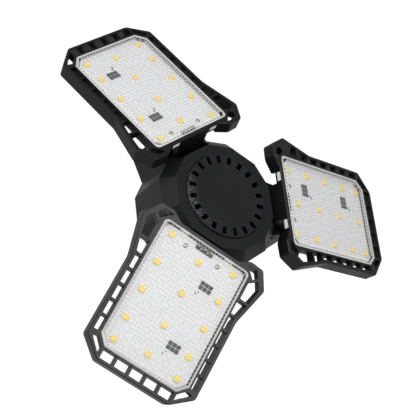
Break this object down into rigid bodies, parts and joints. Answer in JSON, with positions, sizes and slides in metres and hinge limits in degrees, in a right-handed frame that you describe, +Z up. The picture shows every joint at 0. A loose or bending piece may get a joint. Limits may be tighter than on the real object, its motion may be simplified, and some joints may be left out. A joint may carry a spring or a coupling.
{
  "type": "deformable garage light",
  "caption": "Screw-in ceiling lamp whose rectangular LED panels, with perforated black rims, tilt on hinges around a twelve-sided hub.",
  "frame": {"origin": "on the hub's axis, where the screw cap's shell starts", "axes": "+Z up along the axis, towards the screw cap's tip; the light leaves towards -Z; leaf_1 points to -Y"},
  "size_m": [0.3005, 0.2678, 0.1139],
  "materials": {
    "hub_housing": "satin",
    "front_disc": "satin",
    "rear_cover": "satin",
    "rear_screws": "blackened",
    "junction_board": "satin",
    "board_plugs": "satin",
    "cap_shell": "nickel plated",
    "cap_insulator": "gloss",
    "cap_contact": "satin",
    "live_lead": "satin",
    "neutral_lead": "satin",
    "hinge_bolt": "blackened",
    "hinge_washers": "matt",
    "leaf_housing": "satin",
    "leaf_lens": "clear, prismatic",
    "leaf_board": "white lacquer",
    "leaf_leds": "satin",
    "driver_chips": "matt",
    "rectifier": "matt",
    "solder_pads": "solder"
  },
  "bodies": {
    "hub": {"hub_housing": "hub_housing", "front_disc": "front_disc", "rear_cover": "rear_cover", "rear_screws": "rear_screws", "junction_board": "junction_board", "board_plugs": "board_plugs", "cap_shell": "cap_shell", "cap_insulator": "cap_insulator", "cap_contact": "cap_contact", "live_lead": "live_lead", "neutral_lead": "neutral_lead", "hinge_1_bolt": "hinge_bolt", "hinge_1_washers": "hinge_washers", "hinge_2_bolt": "hinge_bolt", "hinge_2_washers": "hinge_washers", "hinge_3_bolt": "hinge_bolt", "hinge_3_washers": "hinge_washers"},
    "leaf_1": {"leaf_1_housing": "leaf_housing", "leaf_1_lens": "leaf_lens", "leaf_1_board": "leaf_board", "leaf_1_leds": "leaf_leds", "leaf_1_driver_chips": "driver_chips", "leaf_1_rectifier": "rectifier", "leaf_1_solder_pads": "solder_pads"},
    "leaf_2": {"leaf_2_housing": "leaf_housing", "leaf_2_lens": "leaf_lens", "leaf_2_board": "leaf_board", "leaf_2_leds": "leaf_leds", "leaf_2_driver_chips": "driver_chips", "leaf_2_rectifier": "rectifier", "leaf_2_solder_pads": "solder_pads"},
    "leaf_3": {"leaf_3_housing": "leaf_housing", "leaf_3_lens": "leaf_lens", "leaf_3_board": "leaf_board", "leaf_3_leds": "leaf_leds", "leaf_3_driver_chips": "driver_chips", "leaf_3_rectifier": "rectifier", "leaf_3_solder_pads": "solder_pads"}
  },
  "joints": [
    {"name": "leaf_1_tilt", "type": "hinge", "parent": "hub", "child": "leaf_1", "pos_m": [0, -0.0485, -0.058], "axis": [-1, 0, 0], "range_deg": [-16.6, 73.4]},
    {"name": "leaf_2_tilt", "type": "hinge", "parent": "hub", "child": "leaf_2", "pos_m": [0.042, 0.02425, -0.058], "axis": [0.5, -0.866, 0], "range_deg": [-19.7, 70.3]},
    {"name": "leaf_3_tilt", "type": "hinge", "parent": "hub", "child": "leaf_3", "pos_m": [-0.042, 0.02425, -0.058], "axis": [0.5, 0.866, 0], "range_deg": [-14.5, 75.5]}
  ]
}
